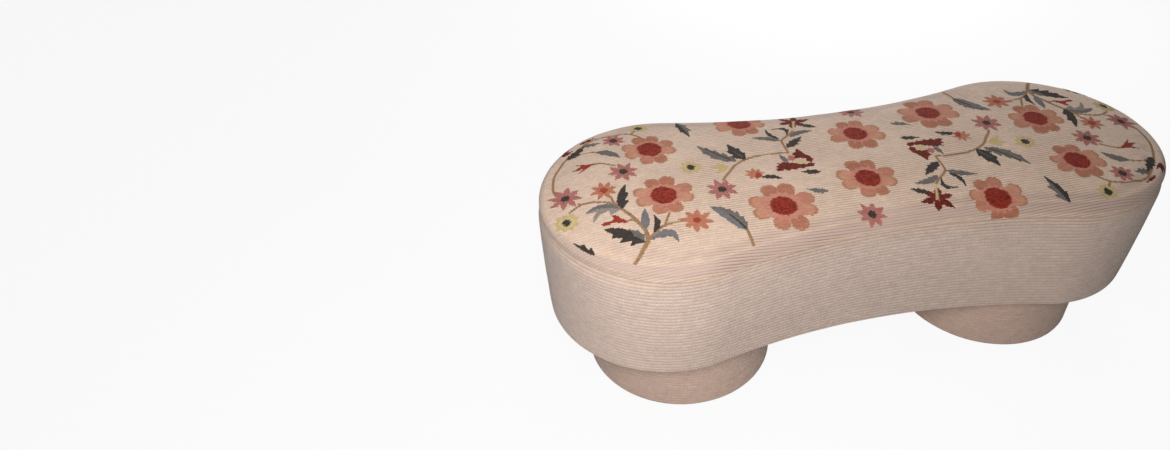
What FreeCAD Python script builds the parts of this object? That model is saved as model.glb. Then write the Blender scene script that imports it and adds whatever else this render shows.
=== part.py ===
import FreeCAD, Part
import math
import os

# A long upholstered bench: a waisted, round-ended seat box on two squat fabric-covered drum legs.
# Millimetres, +Z up. X runs along the bench, Y across it, and the floor is at Z = 0 under the middle.

V = FreeCAD.Vector

# Seat outline: two round lobes joined by a shallow waist
lobe_radius = 265.0
lobe_spacing = 870.0
waist_pinch = 53.0

# Seat heights and edge shapes
leg_height = 170.0
seat_depth = 285.0
pad_thickness = 45.0
crown_rise = 12.0
crown_ridge = 12.0
edge_roll = 21.0
seam_below_roll = 7.0
side_draw_in = 8.0
bottom_corner = 3.0
roll_steps = 6
crown_steps = 5

# Cloth, padding and the bent skin behind them
cover_thickness = 2.0
wadding_thickness = 4.0
side_foam_thickness = 6.0
skin_thickness = 4.0
cloth_thickness = 1.0
soft_gap = 0.3
dust_cover_margin = 10.0

# Plywood decks, ribs and spine, and the pine posts in the lobes
deck_thickness = 15.0
board_thickness = 18.0
lap_gap = 0.2
post_size = 40.0
post_angle = math.radians(50.0)

# Drum legs
side_overhang = 51.0
end_overhang = 89.0
leg_hem_gap = 13.0
leg_corner = 2.0
leg_padding_thickness = 3.0
drum_wall = 5.0
disc_thickness = 18.0
leg_hem_width = 25.0
bottom_ring_width = 93.0
batten_size = 40.0
base_cloth_margin = 8.0

# Glides under the drums
foot_gap = 4.0
glide_radius = 14.0
glide_edge = 1.5
nail_radius = 1.2
nail_length = 14.0
glide_hem_gap = 18.0

# Leg bolts, washers and tee nuts
bolt_radius = 4.0
bolt_clearance = 0.5
bolt_edge_distance = 83.0
bolt_end_stand = 4.0
bolt_head_across = 13.0
bolt_head_height = 5.3
washer_radius = 12.0
washer_thickness = 2.0
tee_flange_radius = 11.0
tee_flange_thickness = 1.5
tee_barrel_wall = 1.0
tee_barrel_length = 9.0

# Wood screws and staples
screw_radius = 2.0
screw_head_radius = 4.0
screw_length = 45.0
screw_offset = 120.0
staple_crown = 10.0
staple_wire = 1.2
staple_sheet = 0.7
staple_leg = 8.0
staple_pitch = 62.0

# Worked-out outline values
half_spacing = lobe_spacing / 2
waist_half = lobe_radius - waist_pinch
waist_radius = (half_spacing**2 + waist_half**2 - lobe_radius**2) / (2 * waist_pinch)
tangent_angle = math.atan2(waist_half + waist_radius, half_spacing)
crown_end = waist_half - crown_ridge

# Worked-out heights of the seat
hem_z = leg_height + cloth_thickness
deck_bottom_z = hem_z + cover_thickness
deck_top_z = deck_bottom_z + deck_thickness
seat_top_z = leg_height + seat_depth
seam_z = seat_top_z - edge_roll - seam_below_roll
pad_z = seat_top_z - pad_thickness
rib_top_z = pad_z - deck_thickness
lap_z = (deck_top_z + rib_top_z) / 2

# Worked-out depths of the layers below the outer surface
wadding_depth = cover_thickness + soft_gap
foam_depth = wadding_depth + wadding_thickness + soft_gap
bottom_roll = bottom_corner + cover_thickness
skin_inset = side_draw_in + wadding_depth + side_foam_thickness + soft_gap
deck_inset = skin_inset + skin_thickness + soft_gap
hem_inset = side_overhang - leg_hem_gap
dust_cover_inset = side_draw_in + dust_cover_margin
staple_inset = (dust_cover_inset + hem_inset) / 2

# Worked-out leg values
leg_radius = lobe_radius - side_overhang
leg_x = half_spacing + lobe_radius - end_overhang - leg_radius
leg_top_z = deck_bottom_z - cloth_thickness
leg_hem_z = foot_gap + cloth_thickness
ring_bottom_z = leg_hem_z + cover_thickness
ring_top_z = ring_bottom_z + disc_thickness
disc_top_z = leg_top_z - cover_thickness
disc_bottom_z = disc_top_z - disc_thickness
padding_radius = leg_radius - cover_thickness - soft_gap
drum_radius = padding_radius - leg_padding_thickness - soft_gap
disc_radius = drum_radius - drum_wall - soft_gap
leg_hem_radius = leg_radius - leg_hem_width
leg_edge_roll = leg_corner + cover_thickness
access_hole_radius = disc_radius - bottom_ring_width
glide_circle_radius = leg_hem_radius - glide_hem_gap - glide_radius
bolt_circle_radius = disc_radius - bolt_edge_distance
tee_barrel_radius = bolt_radius + tee_barrel_wall

rib_places = [half_spacing * step / 2 for step in (-2, -1, 0, 1, 2)]


def draw_in(z):
    """How far the side wall leans in at height z: nothing at the seam, all of it at the hem."""
    return side_draw_in * (seam_z - z) / (seam_z - hem_z)


def outline_wire(inset, z):
    """The seat's closed outline, taken in by inset, as six arcs at height z."""
    radius = lobe_radius - inset

    def on_lobe(side, angle):
        return V(side * (half_spacing - radius * math.cos(angle)), radius * math.sin(angle), z)

    def lobe_arc(side, start, end):
        return Part.Arc(on_lobe(side, start), on_lobe(side, (start + end) / 2), on_lobe(side, end))

    def waist_arc(side, sign):
        middle = V(0, sign * (waist_half - inset), z)
        return Part.Arc(on_lobe(side, sign * tangent_angle), middle, on_lobe(-side, sign * tangent_angle))

    arcs = [
        lobe_arc(1, -tangent_angle, -math.pi),
        lobe_arc(1, math.pi, tangent_angle),
        waist_arc(1, 1),
        lobe_arc(-1, tangent_angle, math.pi),
        lobe_arc(-1, -math.pi, -tangent_angle),
        waist_arc(-1, -1),
    ]
    return Part.Wire([arc.toShape() for arc in arcs])


def slab(inset, low, high):
    """A plate of the seat's outline with upright sides."""
    return Part.Face(outline_wire(inset, low)).extrude(V(0, 0, high - low))


def stack(stations):
    """A solid through outlines given as (inset, height), lowest first."""
    return Part.makeLoft([outline_wire(inset, z) for inset, z in stations], True, True)


def pad_stations(depth, low):
    """The padded top, depth below its outer surface: wall, rolled edge, then the crown."""
    stations = [(depth, seam_z)]
    if low < seam_z:
        stations.insert(0, (depth + draw_in(low), low))
    roll = edge_roll - depth
    roll_z = seat_top_z - edge_roll
    for step in range(roll_steps + 1):
        turn = math.pi / 2 * step / roll_steps
        stations.append((edge_roll - roll * math.cos(turn), roll_z + roll * math.sin(turn)))
    for step in range(1, crown_steps + 1):
        share = step / crown_steps
        inset = edge_roll + share * (crown_end - edge_roll)
        stations.append((inset, seat_top_z - depth + crown_rise * (1 - (1 - share) ** 2)))
    return stations


def side_stations(depth):
    """The side band, depth below its outer surface: rolled bottom edge, then the leaning wall."""
    roll = bottom_roll - depth
    roll_z = hem_z + bottom_roll
    stations = []
    for step in range(roll_steps + 1):
        turn = math.pi / 2 * step / roll_steps
        inset = draw_in(roll_z) + bottom_roll - roll * math.sin(turn)
        stations.append((inset, roll_z - roll * math.cos(turn)))
    stations.append((depth, seam_z))
    return stations


def half(shape, sign):
    """The part of a shape on the front (-1) or rear (1) side of the bench's long axis."""
    box = shape.BoundBox
    size = V(box.XLength, box.YLength, box.ZLength)
    corner = V(box.XMin, 0 if sign > 0 else -size.y, box.ZMin)
    return shape.common(Part.makeBox(size.x, size.y, size.z, corner))


def disc(radius, low, high, x=0.0, y=0.0):
    """An upright cylinder."""
    return Part.makeCylinder(radius, high - low, V(x, y, low))


def board(length, width, low, high, x=0.0, y=0.0):
    """An upright rectangular block centred on x, y."""
    return Part.makeBox(length, width, high - low, V(x - length / 2, y - width / 2, low))


def seat_covers():
    """Embroidered top panel and plain side band, which meet at the seam; the band's hem turns under."""
    top = stack(pad_stations(0, seam_z)).cut(stack(pad_stations(cover_thickness, seam_z)))
    side = stack(side_stations(0)).cut(stack(side_stations(cover_thickness)))
    side = side.cut(slab(hem_inset, hem_z, deck_bottom_z))
    return {"top_cover": top, "side_cover": side}


def seat_padding():
    """Crowned foam pad, the wadding over it, and foam sheets round the side walls."""
    foam = stack(pad_stations(foam_depth, pad_z))
    inner = stack(pad_stations(foam_depth - soft_gap, pad_z))
    wadding = stack(pad_stations(wadding_depth, pad_z)).cut(inner)
    low = hem_z + bottom_roll
    outer_wall = [(wadding_depth + draw_in(z), z) for z in (low, pad_z)]
    side = stack(outer_wall).cut(slab(skin_inset - soft_gap, low, pad_z))
    return {
        "seat_foam": foam,
        "seat_wadding": wadding,
        "side_foam_front": half(side, -1),
        "side_foam_rear": half(side, 1),
    }


def seat_frame():
    """Two decks held apart by a spine, half-lapped cross ribs and lobe posts, inside bent skins."""
    core = slab(deck_inset, deck_top_z, rib_top_z)
    slot = board_thickness + lap_gap
    spine = board(2 * (half_spacing + lobe_radius), board_thickness, deck_top_z, rib_top_z).common(core)
    frame = {}
    for number, x in enumerate(rib_places, 1):
        rib = board(board_thickness, 2 * lobe_radius, deck_top_z, rib_top_z, x).common(core)
        frame[f"cross_rib_{number}"] = rib.cut(board(slot, slot, deck_top_z, lap_z, x))
        spine = spine.cut(board(slot, slot, lap_z, rib_top_z, x))
    frame["spine_board"] = spine
    for number, (x, y, turn) in enumerate(post_places(), 1):
        post = board(post_size, post_size, deck_top_z, rib_top_z, x, y)
        post.rotate(V(x, y, 0), V(0, 0, 1), math.degrees(turn))
        frame[f"lobe_post_{number}"] = post.common(core)
    skin_inner = slab(skin_inset + skin_thickness, deck_bottom_z, pad_z)
    skin = slab(skin_inset, deck_bottom_z, pad_z).cut(skin_inner)
    frame["side_skin_front"] = half(skin, -1)
    frame["side_skin_rear"] = half(skin, 1)
    frame["base_deck"] = slab(deck_inset, deck_bottom_z, deck_top_z)
    frame["seat_deck"] = slab(deck_inset, rib_top_z, pad_z)
    return frame


def post_places():
    """Centre and turn of each pine post, just inside the skin on the outer curve of each lobe."""
    reach = lobe_radius - deck_inset - post_size / 2
    places = []
    for side in (-1, 1):
        for sign in (-1, 1):
            x = side * (half_spacing + reach * math.cos(post_angle))
            places.append((x, sign * reach * math.sin(post_angle), side * sign * post_angle))
    return places


def dust_cover():
    """Thin cloth under the base deck; its edge laps down over the side band's hem."""
    edge = hem_inset + soft_gap
    tray = slab(edge, leg_height, deck_bottom_z).cut(slab(edge + cloth_thickness, leg_height, leg_top_z))
    lap = slab(dust_cover_inset, leg_height, hem_z).cut(slab(edge, leg_height, hem_z))
    return {"dust_cover": tray.fuse(lap).removeSplitter()}


def wood_screw(x, y, face_z, sign):
    """A countersunk screw whose head is flush with face_z, driven along sign * Z."""
    direction = V(0, 0, sign)
    head = screw_head_radius - screw_radius
    shank = Part.makeCylinder(screw_radius, screw_length, V(x, y, face_z), direction)
    cone = Part.makeCone(screw_head_radius, screw_radius, head, V(x, y, face_z), direction)
    return shank.fuse(cone).removeSplitter()


def screw_places():
    """Where the decks are screwed to the ribs, to the spine between them, and to the posts."""
    places = [(x, sign * screw_offset) for x in rib_places for sign in (-1, 1)]
    places += [((a + b) / 2, 0.0) for a, b in zip(rib_places, rib_places[1:])]
    places += [(x, y) for x, y, turn in post_places()]
    return places


def deck_screws():
    """Screws down through the seat deck, and up through the base deck."""
    return {
        "seat_deck_screws": [wood_screw(x, y, pad_z, -1) for x, y in screw_places()],
        "base_deck_screws": [wood_screw(x, y, deck_bottom_z, 1) for x, y in screw_places()],
    }


def bent_staple():
    """A wire staple that points upwards, its crown just below Z = 0."""
    corners = [(staple_crown / 2, -staple_sheet), (staple_crown / 2, staple_leg)]
    corners += [(staple_crown / 2 - staple_sheet, staple_leg), (staple_crown / 2 - staple_sheet, 0)]
    corners += [(-x, z) for x, z in reversed(corners)]
    points = [V(x, -staple_wire / 2, z) for x, z in corners + corners[:1]]
    return Part.Face(Part.makePolygon(points)).extrude(V(0, staple_wire, 0))


def staple(x, y, z, turn):
    """A staple driven upwards into a hem, its crown just below z, turned to lie along the hem."""
    wire = bent_staple()
    wire.rotate(V(0, 0, 0), V(0, 0, 1), math.degrees(turn))
    wire.translate(V(x, y, z))
    return wire


def seat_staples():
    """Staples through the hem into the base deck, and between them others that hold the dust cover."""
    path = outline_wire(staple_inset, 0)
    count = 2 * round(path.Length / staple_pitch)
    points = path.discretize(Number=count + 1)
    rows = {"hem_staples": [], "dust_cover_staples": []}
    for number in range(count):
        point = points[number]
        along = points[number + 1] - points[number - 1 if number else count - 1]
        turn = math.atan2(along.y, along.x)
        if number % 2:
            rows["hem_staples"].append(staple(point.x, point.y, hem_z + staple_sheet, turn))
        else:
            rows["dust_cover_staples"].append(staple(point.x, point.y, leg_height, turn))
    return rows


def round_places(centre_x, radius, count, start):
    """Points evenly spaced on a circle about a leg's centre."""
    turns = [start + 2 * math.pi * number / count for number in range(count)]
    return [(centre_x + radius * math.cos(turn), radius * math.sin(turn)) for turn in turns]


def leg_bolt_places(centre_x):
    """Where one leg is bolted to the base deck."""
    return round_places(centre_x, bolt_circle_radius, 4, math.pi / 4)


def bolt_places():
    """Where both legs are bolted."""
    return leg_bolt_places(-leg_x) + leg_bolt_places(leg_x)


def hex_bolt(x, y):
    """A hexagon-head bolt put in from inside the drum, up through the top disc and the tee nut."""
    head_z = disc_bottom_z - washer_thickness
    tip_z = deck_top_z + tee_flange_thickness + bolt_end_stand
    corner = bolt_head_across / math.sqrt(3)
    points = [V(x + corner * math.cos(k * math.pi / 3), y + corner * math.sin(k * math.pi / 3),
                head_z - bolt_head_height) for k in range(7)]
    head = Part.Face(Part.makePolygon(points)).extrude(V(0, 0, bolt_head_height))
    return head.fuse(disc(bolt_radius, head_z, tip_z, x, y)).removeSplitter()


def bolt_holes(places):
    """Clearance holes for the bolts, from under the washers up to the base deck."""
    low = disc_bottom_z - washer_thickness
    return [disc(bolt_radius + bolt_clearance, low, deck_bottom_z, x, y) for x, y in places]


def washer(x, y):
    """A plain washer under a bolt head."""
    ring = disc(washer_radius, disc_bottom_z - washer_thickness, disc_bottom_z, x, y)
    return ring.cut(Part.makeCompound(bolt_holes([(x, y)])))


def tee_nut(x, y):
    """A flanged tee nut let into the base deck from above."""
    flange = disc(tee_flange_radius, deck_top_z, deck_top_z + tee_flange_thickness, x, y)
    barrel = disc(tee_barrel_radius, deck_top_z - tee_barrel_length, deck_top_z, x, y)
    bore = disc(bolt_radius, deck_bottom_z, deck_top_z + tee_flange_thickness, x, y)
    return flange.fuse(barrel).removeSplitter().cut(bore)


def glide(x, y):
    """A nail-on plastic glide: a low domed pad with its nail."""
    top_z = foot_gap + cover_thickness
    pad = disc(glide_radius, 0, top_z, x, y)
    pad = pad.makeFillet(glide_edge, [edge for edge in pad.Edges if edge.BoundBox.ZMax < top_z / 2])
    return pad.fuse(disc(nail_radius, top_z, top_z + nail_length, x, y)).removeSplitter()


def leg_pieces(name, centre_x):
    """One drum leg: covered, padded drum on two discs with battens between them."""
    cover = disc(leg_radius, leg_hem_z, leg_top_z, centre_x)
    cover = cover.makeFillet(leg_edge_roll, [edge for edge in cover.Edges if edge.BoundBox.ZLength < 1])
    inner = disc(leg_radius - cover_thickness, ring_bottom_z, disc_top_z, centre_x)
    inner = inner.makeFillet(leg_edge_roll - cover_thickness,
                             [edge for edge in inner.Edges if edge.BoundBox.ZLength < 1])
    cover = cover.cut(inner).cut(disc(leg_hem_radius, leg_hem_z, leg_top_z, centre_x))

    pad_low, pad_high = leg_hem_z + leg_edge_roll, leg_top_z - leg_edge_roll
    padding = disc(padding_radius, pad_low, pad_high, centre_x).cut(
        disc(padding_radius - leg_padding_thickness, pad_low, pad_high, centre_x))
    drum = disc(drum_radius, ring_bottom_z, disc_top_z, centre_x).cut(
        disc(drum_radius - drum_wall, ring_bottom_z, disc_top_z, centre_x))

    top = disc(disc_radius, disc_bottom_z, disc_top_z, centre_x)
    bottom = disc(disc_radius, ring_bottom_z, ring_top_z, centre_x).cut(
        disc(access_hole_radius, ring_bottom_z, ring_top_z, centre_x))
    edge = leg_hem_radius - soft_gap
    base_cloth = disc(edge, foot_gap, ring_bottom_z, centre_x).cut(
        disc(edge - cloth_thickness, foot_gap, ring_bottom_z - cloth_thickness, centre_x))
    lap = disc(leg_radius - base_cloth_margin, foot_gap, leg_hem_z, centre_x).cut(
        disc(edge, foot_gap, leg_hem_z, centre_x))
    base_cloth = base_cloth.fuse(lap).removeSplitter()

    bolts = leg_bolt_places(centre_x)
    top = top.cut(Part.makeCompound(bolt_holes(bolts)))
    glides = [glide(x, y) for x, y in round_places(centre_x, glide_circle_radius, 4, math.pi / 4)]
    staple_circle = (leg_hem_radius + leg_radius - base_cloth_margin) / 2
    staple_count = round(2 * math.pi * staple_circle / staple_pitch)
    staples = []
    for x, y in round_places(centre_x, staple_circle, staple_count, 0):
        staples.append(staple(x, y, foot_gap, math.atan2(y, x - centre_x) + math.pi / 2))

    pieces = {
        f"{name}_leg_cover": cover,
        f"{name}_leg_padding": padding,
        f"{name}_leg_drum": drum,
        f"{name}_leg_top_disc": top,
        f"{name}_leg_bottom_ring": bottom,
        f"{name}_leg_base_cloth": base_cloth,
        f"{name}_leg_bolts": [hex_bolt(x, y) for x, y in bolts],
        f"{name}_leg_washers": [washer(x, y) for x, y in bolts],
        f"{name}_leg_tee_nuts": [tee_nut(x, y) for x, y in bolts],
        f"{name}_leg_glides": glides,
        f"{name}_leg_base_staples": staples,
    }
    reach = disc_radius - batten_size / 2
    bore = disc(disc_radius, ring_top_z, disc_bottom_z, centre_x)
    for number, (x, y) in enumerate(round_places(centre_x, reach, 4, 0), 1):
        batten = board(batten_size, batten_size, ring_top_z, disc_bottom_z, x, y)
        pieces[f"{name}_leg_batten_{number}"] = batten.common(bore)
    return pieces


def build():
    """All pieces by name, with every fastener's hole cut in what it goes through."""
    pieces = {}
    for group in (seat_covers(), seat_padding(), seat_frame(), dust_cover(), deck_screws(), seat_staples()):
        pieces.update(group)
    for name, side in (("left", -1), ("right", 1)):
        pieces.update(leg_pieces(name, side * leg_x))

    dust_staples = pieces["dust_cover_staples"]
    staples = pieces["hem_staples"] + dust_staples
    tee_holes = [disc(tee_barrel_radius, deck_bottom_z, deck_top_z, x, y) for x, y in bolt_places()]
    holes = {
        "seat_deck": pieces["seat_deck_screws"],
        "base_deck": pieces["base_deck_screws"] + staples + tee_holes,
        "side_cover": staples,
        "dust_cover": dust_staples + bolt_holes(bolt_places()),
    }
    for name in pieces:
        if name.startswith(("cross_rib", "lobe_post", "spine")):
            holes[name] = pieces["seat_deck_screws"] + pieces["base_deck_screws"]
    for name in ("left", "right"):
        glides, base_staples = pieces[f"{name}_leg_glides"], pieces[f"{name}_leg_base_staples"]
        holes[f"{name}_leg_bottom_ring"] = glides + base_staples
        holes[f"{name}_leg_base_cloth"] = glides + base_staples
        holes[f"{name}_leg_cover"] = base_staples
    for name, tools in holes.items():
        pieces[name] = pieces[name].cut(Part.makeCompound(tools))
    return pieces


def write(pieces):
    """One STEP file for each named piece; a group of like fasteners is one file of separate solids."""
    os.makedirs("parts", exist_ok=True)
    for name, shape in pieces.items():
        solids = shape if isinstance(shape, list) else shape.Solids
        Part.makeCompound(solids).exportStep(f"parts/{name}.step")


write(build())
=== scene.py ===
# Upholstered bench: a waisted padded seat on two drum legs, in ribbed cloth with woven flowers on its top.
import math

import bmesh
import bpy
from mathutils import Color, Matrix, Vector, geometry, noise
from mathutils.bvhtree import BVHTree


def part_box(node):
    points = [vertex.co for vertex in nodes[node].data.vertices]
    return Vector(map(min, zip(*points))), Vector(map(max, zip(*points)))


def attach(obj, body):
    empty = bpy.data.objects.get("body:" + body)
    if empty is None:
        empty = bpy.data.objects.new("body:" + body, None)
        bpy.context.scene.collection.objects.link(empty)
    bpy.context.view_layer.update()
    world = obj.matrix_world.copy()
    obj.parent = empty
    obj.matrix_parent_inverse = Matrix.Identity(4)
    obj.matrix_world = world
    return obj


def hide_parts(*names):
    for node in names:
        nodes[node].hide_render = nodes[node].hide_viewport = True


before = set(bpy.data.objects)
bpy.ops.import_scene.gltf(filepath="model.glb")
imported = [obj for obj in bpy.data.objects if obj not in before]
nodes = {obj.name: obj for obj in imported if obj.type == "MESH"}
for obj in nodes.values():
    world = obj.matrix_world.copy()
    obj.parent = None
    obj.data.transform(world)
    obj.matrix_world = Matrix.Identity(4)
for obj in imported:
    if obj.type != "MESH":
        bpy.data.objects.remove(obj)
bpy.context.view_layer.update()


# Plywood boards: the two decks, the spine with its cross ribs, and the disc and ring of each leg.
# They are sawn from birch plywood, so faces show grain along the board and cut edges show the stacked plies.
# The spine and ribs are half-lapped, and screws through the decks hold the box together.
def paint(red, green, blue):
    """A colour as the eye reads it, 0 to 255 a channel, as the linear light that shaders mix."""
    return (*Color((red / 255, green / 255, blue / 255)).from_srgb_to_scene_linear(), 1.0)


def join(tree, socket, value):
    """Sets a socket to a plain value, or links it to another node's output."""
    if isinstance(value, bpy.types.NodeSocket):
        tree.links.new(value, socket)
    else:
        socket.default_value = value


def add(tree, kind, settings=None, **inputs):
    """Adds a node with its settings and its inputs, whose names have _ for each space."""
    node = tree.nodes.new("ShaderNode" + kind)
    for key, value in (settings or {}).items():
        setattr(node, key, value)
    for key, value in inputs.items():
        join(tree, node.inputs[key.replace("_", " ")], value)
    return node


def maths(tree, operation, *values):
    """One step of arithmetic on plain values or outputs."""
    node = add(tree, "Math", {"operation": operation})
    for socket, value in zip(node.inputs, values):
        join(tree, socket, value)
    return node.outputs[0]


def blend(tree, share, first, second, mode="MIX"):
    """Mixes two colours by a share that may vary over the surface."""
    node = add(tree, "Mix", {"data_type": "RGBA", "blend_type": mode})
    for index, value in ((0, share), (6, first), (7, second)):
        join(tree, node.inputs[index], value)
    return node.outputs[2]


def split(tree, vector):
    """The X, Y and Z of a vector."""
    return add(tree, "SeparateXYZ", Vector=vector).outputs


def object_place(tree):
    """A point's place on the bench, to which grain, cells and scuffs keep."""
    return add(tree, "TexCoord").outputs["Object"]


def mottle(tree, place, scale, detail, **more):
    """Soft uneven patches over a surface, from 0 to 1."""
    return add(tree, "TexNoise", Vector=place, Scale=scale, Detail=detail, **more).outputs["Fac"]


def new_material(name, **constants):
    """A material with its tree and its shader, whose unchanging values are set on its own sockets."""
    made = bpy.data.materials.new(name)
    made.use_nodes = True
    shader = made.node_tree.nodes["Principled BSDF"]
    for key, value in constants.items():
        shader.inputs[key.replace("_", " ")].default_value = value
    return made, made.node_tree, shader


def colour_in(tree, shader, colour, mask, smoothest, roughest):
    """Gives a shader its colour, and a roughness between two ends that follows a mask."""
    join(tree, shader.inputs["Base Color"], colour)
    join(tree, shader.inputs["Roughness"], maths(tree, "MULTIPLY_ADD", mask, roughest - smoothest, smoothest))


def raise_by(tree, shader, height, depth):
    """Raises the surface by a height that varies over it."""
    bump = add(tree, "Bump", Height=height, Strength=1.0, Distance=depth)
    join(tree, shader.inputs["Normal"], bump.outputs[0])


def dress(finish, *names):
    """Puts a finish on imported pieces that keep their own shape."""
    for name in names:
        for slot in nodes[name].material_slots:
            slot.material = finish


def of_each_leg(*pieces):
    """The names of like pieces of both legs."""
    return [f"{leg}_leg_{piece}" for leg in leg_names for piece in pieces]


leg_names = ("left", "right")
ply_pair = 0.0028
face_from = 0.7
grain_along_x, grain_along_y = (5.0, 60.0, 60.0), (60.0, 5.0, 60.0)
birch_pale, birch_deep = paint(228, 198, 154), paint(188, 148, 102)
edge_pale, edge_deep = paint(206, 172, 126), paint(138, 98, 64)


def plywood(name, stacked, grain_scale):
    """Birch plywood with its plies stacked along one axis."""
    made, tree, shader = new_material(name, Specular_IOR_Level=0.3)
    place = object_place(tree)
    stretched = add(tree, "Mapping", Vector=place, Scale=grain_scale).outputs[0]
    grain = mottle(tree, stretched, scale=1.0, detail=6.0, Distortion=0.8)
    wave = maths(tree, "SINE", maths(tree, "MULTIPLY", split(tree, place)[stacked], math.tau / ply_pair))
    edge = blend(tree, maths(tree, "MULTIPLY_ADD", wave, 0.5, 0.5), edge_pale, edge_deep)
    facing = split(tree, add(tree, "NewGeometry").outputs["Normal"])[stacked]
    on_face = maths(tree, "GREATER_THAN", maths(tree, "ABSOLUTE", facing), face_from)
    wood = blend(tree, on_face, edge, blend(tree, grain, birch_pale, birch_deep))
    colour_in(tree, shader, wood, grain, smoothest=0.55, roughest=0.75)
    raise_by(tree, shader, grain, depth=0.0002)
    return made


dress(plywood("flat_plywood", "Z", grain_along_x), "seat_deck", "base_deck",
      *of_each_leg("top_disc", "bottom_ring"))
dress(plywood("rib_plywood", "X", grain_along_y), *(name for name in nodes if name.startswith("cross_rib")))
dress(plywood("spine_plywood", "Y", grain_along_x), "spine_board")


# Bent plywood: the two skins round the seat's walls and the tube of each leg.
# Thin plies with their grain upright are bent round the ribs and discs and stapled, so they are browner
# than the boards and show upright streaks and open pores.
ply_streaks = (70.0, 70.0, 4.0)
ply_pale, ply_brown, pore_brown = paint(206, 166, 122), paint(150, 106, 70), paint(112, 74, 48)


def ramp(tree, value, start, end, low=0.0, high=1.0, kind="LINEAR"):
    """Goes from low to high while a value goes from start to end."""
    return add(tree, "MapRange", {"interpolation_type": kind}, Value=value, From_Min=start, From_Max=end,
               To_Min=low, To_Max=high).outputs[0]


def bent_plywood():
    made, tree, shader = new_material("bent_plywood", Specular_IOR_Level=0.25)
    upright = add(tree, "Mapping", Vector=object_place(tree), Scale=ply_streaks).outputs[0]
    streak = mottle(tree, upright, scale=1.0, detail=5.0, Roughness=0.65)
    pores = mottle(tree, upright, scale=9.0, detail=2.0)
    wood = blend(tree, streak, ply_pale, ply_brown)
    wood = blend(tree, ramp(tree, pores, start=0.62, end=0.7), wood, pore_brown)
    colour_in(tree, shader, wood, streak, smoothest=0.6, roughest=0.8)
    raise_by(tree, shader, pores, depth=0.0002)
    return made


dress(bent_plywood(), "side_skin_front", "side_skin_rear", *of_each_leg("drum"))


# Softwood: the posts behind the skins in the round ends and the battens inside the legs.
# They are planed pine with the grain upright, glued and screwed to the decks and discs.
pine_streaks = (28.0, 28.0, 2.0)
ring_count = 9.0
fibre_share = 0.3
pine_pale, pine_deep, fibre_brown = paint(234, 204, 152), paint(196, 148, 92), paint(170, 122, 76)


def pine():
    made, tree, shader = new_material("planed_pine", Specular_IOR_Level=0.35)
    upright = add(tree, "Mapping", Vector=object_place(tree), Scale=pine_streaks).outputs[0]
    sway = mottle(tree, upright, scale=1.0, detail=3.0)
    rings = maths(tree, "FRACT", maths(tree, "MULTIPLY", sway, ring_count))
    fibre = mottle(tree, upright, scale=14.0, detail=2.0)
    wood = blend(tree, rings, pine_pale, pine_deep)
    wood = blend(tree, maths(tree, "MULTIPLY", fibre, fibre_share), wood, fibre_brown)
    colour_in(tree, shader, wood, fibre, smoothest=0.5, roughest=0.7)
    raise_by(tree, shader, fibre, depth=0.00015)
    return made


dress(pine(), *(name for name in nodes if name.startswith("lobe_post") or "leg_batten" in name))


# Steel fasteners: screws through the decks, the bolts that hold each leg, and their washers and tee nuts.
# They are zinc-plated, with a faint yellow and blue cast that changes from spot to spot.
zinc_yellow, zinc_blue = paint(206, 200, 178), paint(176, 184, 194)


def zinc_steel():
    made, tree, shader = new_material("zinc_steel", Metallic=1.0)
    cast = mottle(tree, object_place(tree), scale=220.0, detail=3.0)
    rub = mottle(tree, object_place(tree), scale=900.0, detail=2.0)
    colour_in(tree, shader, blend(tree, cast, zinc_yellow, zinc_blue), rub, smoothest=0.22, roughest=0.52)
    raise_by(tree, shader, rub, depth=0.00003)
    return made


dress(zinc_steel(), "seat_deck_screws", "base_deck_screws", *of_each_leg("bolts", "washers", "tee_nuts"))


# Side foam: a thin sheet of foam wrapped round the bent skins, glued on in a front and a rear half.
# It is cut foam with open cells, and rounds the walls under the cloth.
# The seat's outline in plan is two round lobes joined by a shallow waist, each arc meeting the next smoothly.
band_low, band_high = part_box("side_cover")
lobe_radius = band_high.y
half_spacing = band_high.x - lobe_radius
waist_pinch = 0.053
waist_half = lobe_radius - waist_pinch
waist_radius = (half_spacing ** 2 + waist_half ** 2 - lobe_radius ** 2) / (2 * waist_pinch)
waist_centre = waist_half + waist_radius
waist_turn = math.atan2(half_spacing, waist_centre)
lobe_turn = math.pi / 2 + waist_turn
quarter_round = lobe_radius * lobe_turn + waist_radius * waist_turn
same_point = 0.00002
inner_spacing = 0.02
fill_rows = 5
side_draw_in = 0.008
foam_outset = 0.0025
side_foam_thickness = 0.0055
side_foam_low, side_foam_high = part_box("side_foam_front")
cell_shade = 0.5
foam_pale, foam_deep = paint(236, 224, 178), paint(206, 186, 128)


def close_top(bm, last):
    """Carries the inner end of a swept top to the middle line of the seat, row by row."""
    station = bm.verts.layers.int["station"]
    rim = [edge for edge in bm.edges if all(vert[station] == last for vert in edge.verts)]
    for rows_left in range(fill_rows, 0, -1):
        grown = bmesh.ops.extrude_edge_only(bm, edges=rim)["geom"]
        inner = [item for item in grown if isinstance(item, bmesh.types.BMVert)]
        for vert in inner:
            vert[station] = last + 1
        bmesh.ops.scale(bm, vec=(1.0, (rows_left - 1) / rows_left, 1.0), verts=inner)
        rim = [edge for edge in bm.edges if all(vert in set(inner) for vert in edge.verts)]


def chain(bm, points, ring):
    """Vertices joined by edges in a row, or in a ring."""
    verts = [bm.verts.new(point) for point in points]
    ends = verts[1:] + verts[:1] if ring else verts[1:]
    return verts, [bm.edges.new(pair) for pair in zip(verts, ends)]


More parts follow.
